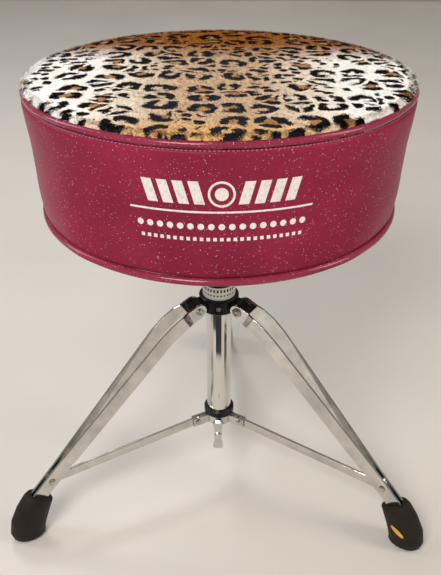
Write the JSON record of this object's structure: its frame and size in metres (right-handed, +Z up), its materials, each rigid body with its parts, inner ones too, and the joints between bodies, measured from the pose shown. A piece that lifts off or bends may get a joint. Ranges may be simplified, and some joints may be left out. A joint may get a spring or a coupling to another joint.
{
  "type": "drum throne",
  "caption": "Round padded drum throne with a leopard plush top and glitter vinyl side, on a threaded rod and a folding tripod stand with double strap legs",
  "frame": {"origin": "on the floor, under the middle of the bounding box", "axes": "+Z up; +Y points along the single rear leg, away from the two front legs; the tube stands on a vertical line at X 0, behind which the rear foot reaches furthest"},
  "size_m": [0.454, 0.438, 0.485],
  "materials": {
    "glitter_vinyl": "metal-flake vinyl, burgundy red",
    "leopard_plush": "short-pile plush with a leopard print",
    "seat_foam": "open-cell upholstery foam, cream",
    "plywood": "raw plywood",
    "dust_cloth": "black non-woven cloth",
    "black_cast": "black painted casting",
    "zinc_steel": "zinc plated steel",
    "chrome": "bright chrome plate",
    "nickel": "nickel plated steel",
    "black_nylon": "moulded nylon",
    "black_rubber": "moulded rubber",
    "white_band": "white plastic band",
    "yellow_sticker": "plain yellow sticker"
  },
  "bodies": {
    "stand": {"hub": "black_cast", "hub_set_screw": "zinc_steel", "label_band": "white_band", "centre_tube": "chrome", "tube_plug": "black_nylon", "height_lock": "black_cast", "leg_1_hub_rivet": "nickel", "leg_2_hub_rivet": "nickel", "leg_3_hub_rivet": "nickel"},
    "rod": {"threaded_rod": "zinc_steel"},
    "seat": {"seat_side_cover": "glitter_vinyl", "seat_top_cover": "leopard_plush", "top_piping": "glitter_vinyl", "bottom_piping": "glitter_vinyl", "seat_foam": "seat_foam", "seat_base_board": "plywood", "bottom_cover": "dust_cloth", "seat_bracket": "black_cast", "board_nut_1": "zinc_steel", "board_nut_2": "zinc_steel", "board_nut_3": "zinc_steel", "board_nut_4": "zinc_steel", "bracket_screw_1": "zinc_steel", "bracket_screw_2": "zinc_steel", "bracket_screw_3": "zinc_steel", "bracket_screw_4": "zinc_steel"},
    "seat_bolt": {"seat_wing_bolt": "chrome"},
    "lock_bolt": {"lock_wing_bolt": "chrome"},
    "collar": {"stay_collar": "chrome", "collar_sleeve": "black_nylon", "stay_1_collar_pin": "nickel", "stay_2_collar_pin": "nickel", "stay_3_collar_pin": "nickel"},
    "collar_screw": {"collar_wing_screw": "chrome"},
    "leg_1": {"leg_1_strap_left": "chrome", "leg_1_strap_right": "chrome", "leg_1_stub_left": "nickel", "leg_1_stub_right": "nickel", "leg_1_foot": "black_rubber", "foot_tag": "yellow_sticker"},
    "stay_1": {"stay_1": "chrome"},
    "leg_2": {"leg_2_strap_left": "chrome", "leg_2_strap_right": "chrome", "leg_2_stub_left": "nickel", "leg_2_stub_right": "nickel", "leg_2_foot": "black_rubber"},
    "stay_2": {"stay_2": "chrome"},
    "leg_3": {"leg_3_strap_left": "chrome", "leg_3_strap_right": "chrome", "leg_3_stub_left": "nickel", "leg_3_stub_right": "nickel", "leg_3_foot": "black_rubber"},
    "stay_3": {"stay_3": "chrome"}
  },
  "joints": [
    {"name": "seat_height", "type": "slide", "parent": "stand", "child": "rod", "axis": [0, 0, 1], "range_m": [-0.0352, 0.0352]},
    {"name": "seat_turn", "type": "hinge", "parent": "rod", "child": "seat", "pos_m": [0, -0.04155, 0.342], "axis": [0, 0, 1], "range_deg": [-2520, 2520]},
    {"name": "seat_bolt_turn", "type": "hinge", "parent": "seat", "child": "seat_bolt", "pos_m": [0, -0.04155, 0.3448], "axis": [1, 0, 0], "range_deg": [0, 720]},
    {"name": "lock_bolt_turn", "type": "hinge", "parent": "stand", "child": "lock_bolt", "pos_m": [0, -0.04155, 0.2743], "axis": [-1, 0, 0], "range_deg": [0, 720]},
    {"name": "leg_1_fold", "type": "hinge", "parent": "stand", "child": "leg_1", "pos_m": [0.02468, -0.0558, 0.234], "axis": [0.5, 0.866, 0], "range_deg": [0, 31.81]},
    {"name": "leg_2_fold", "type": "hinge", "parent": "stand", "child": "leg_2", "pos_m": [0, -0.01305, 0.234], "axis": [-1, 0, 0], "range_deg": [0, 31.86]},
    {"name": "leg_3_fold", "type": "hinge", "parent": "stand", "child": "leg_3", "pos_m": [-0.02468, -0.0558, 0.234], "axis": [0.5, -0.866, 0], "range_deg": [0, 31.86]},
    {"name": "collar_slide", "type": "slide", "parent": "stand", "child": "collar", "axis": [0, 0, 1], "range_m": [0, 0.08895]},
    {"name": "stay_1_swing", "type": "hinge", "parent": "collar", "child": "stay_1", "pos_m": [0.02546, -0.05625, 0.075], "axis": [0.5, 0.866, 0], "range_deg": [0, 66.59]},
    {"name": "stay_2_swing", "type": "hinge", "parent": "collar", "child": "stay_2", "pos_m": [0, -0.01215, 0.075], "axis": [-1, 0, 0], "range_deg": [0, 66.59]},
    {"name": "stay_3_swing", "type": "hinge", "parent": "collar", "child": "stay_3", "pos_m": [-0.02546, -0.05625, 0.075], "axis": [0.5, -0.866, 0], "range_deg": [0, 66.59]},
    {"name": "collar_screw_turn", "type": "hinge", "parent": "collar", "child": "collar_screw", "pos_m": [0, -0.04155, 0.075], "axis": [0, -1, 0], "range_deg": [0, 720]}
  ],
  "couplings": [
    {"joint": "seat_height", "follows": "seat_turn", "m_per_rad": 0.00079577},
    {"joint": "leg_2_fold", "follows": "leg_1_fold", "ratio": 1},
    {"joint": "leg_3_fold", "follows": "leg_1_fold", "ratio": 1},
    {"joint": "collar_slide", "follows": "leg_1_fold", "m_per_rad": 0.15967},
    {"joint": "stay_1_swing", "follows": "leg_1_fold", "ratio": 2.0871},
    {"joint": "stay_2_swing", "follows": "leg_1_fold", "ratio": 2.0871},
    {"joint": "stay_3_swing", "follows": "leg_1_fold", "ratio": 2.0871}
  ]
}
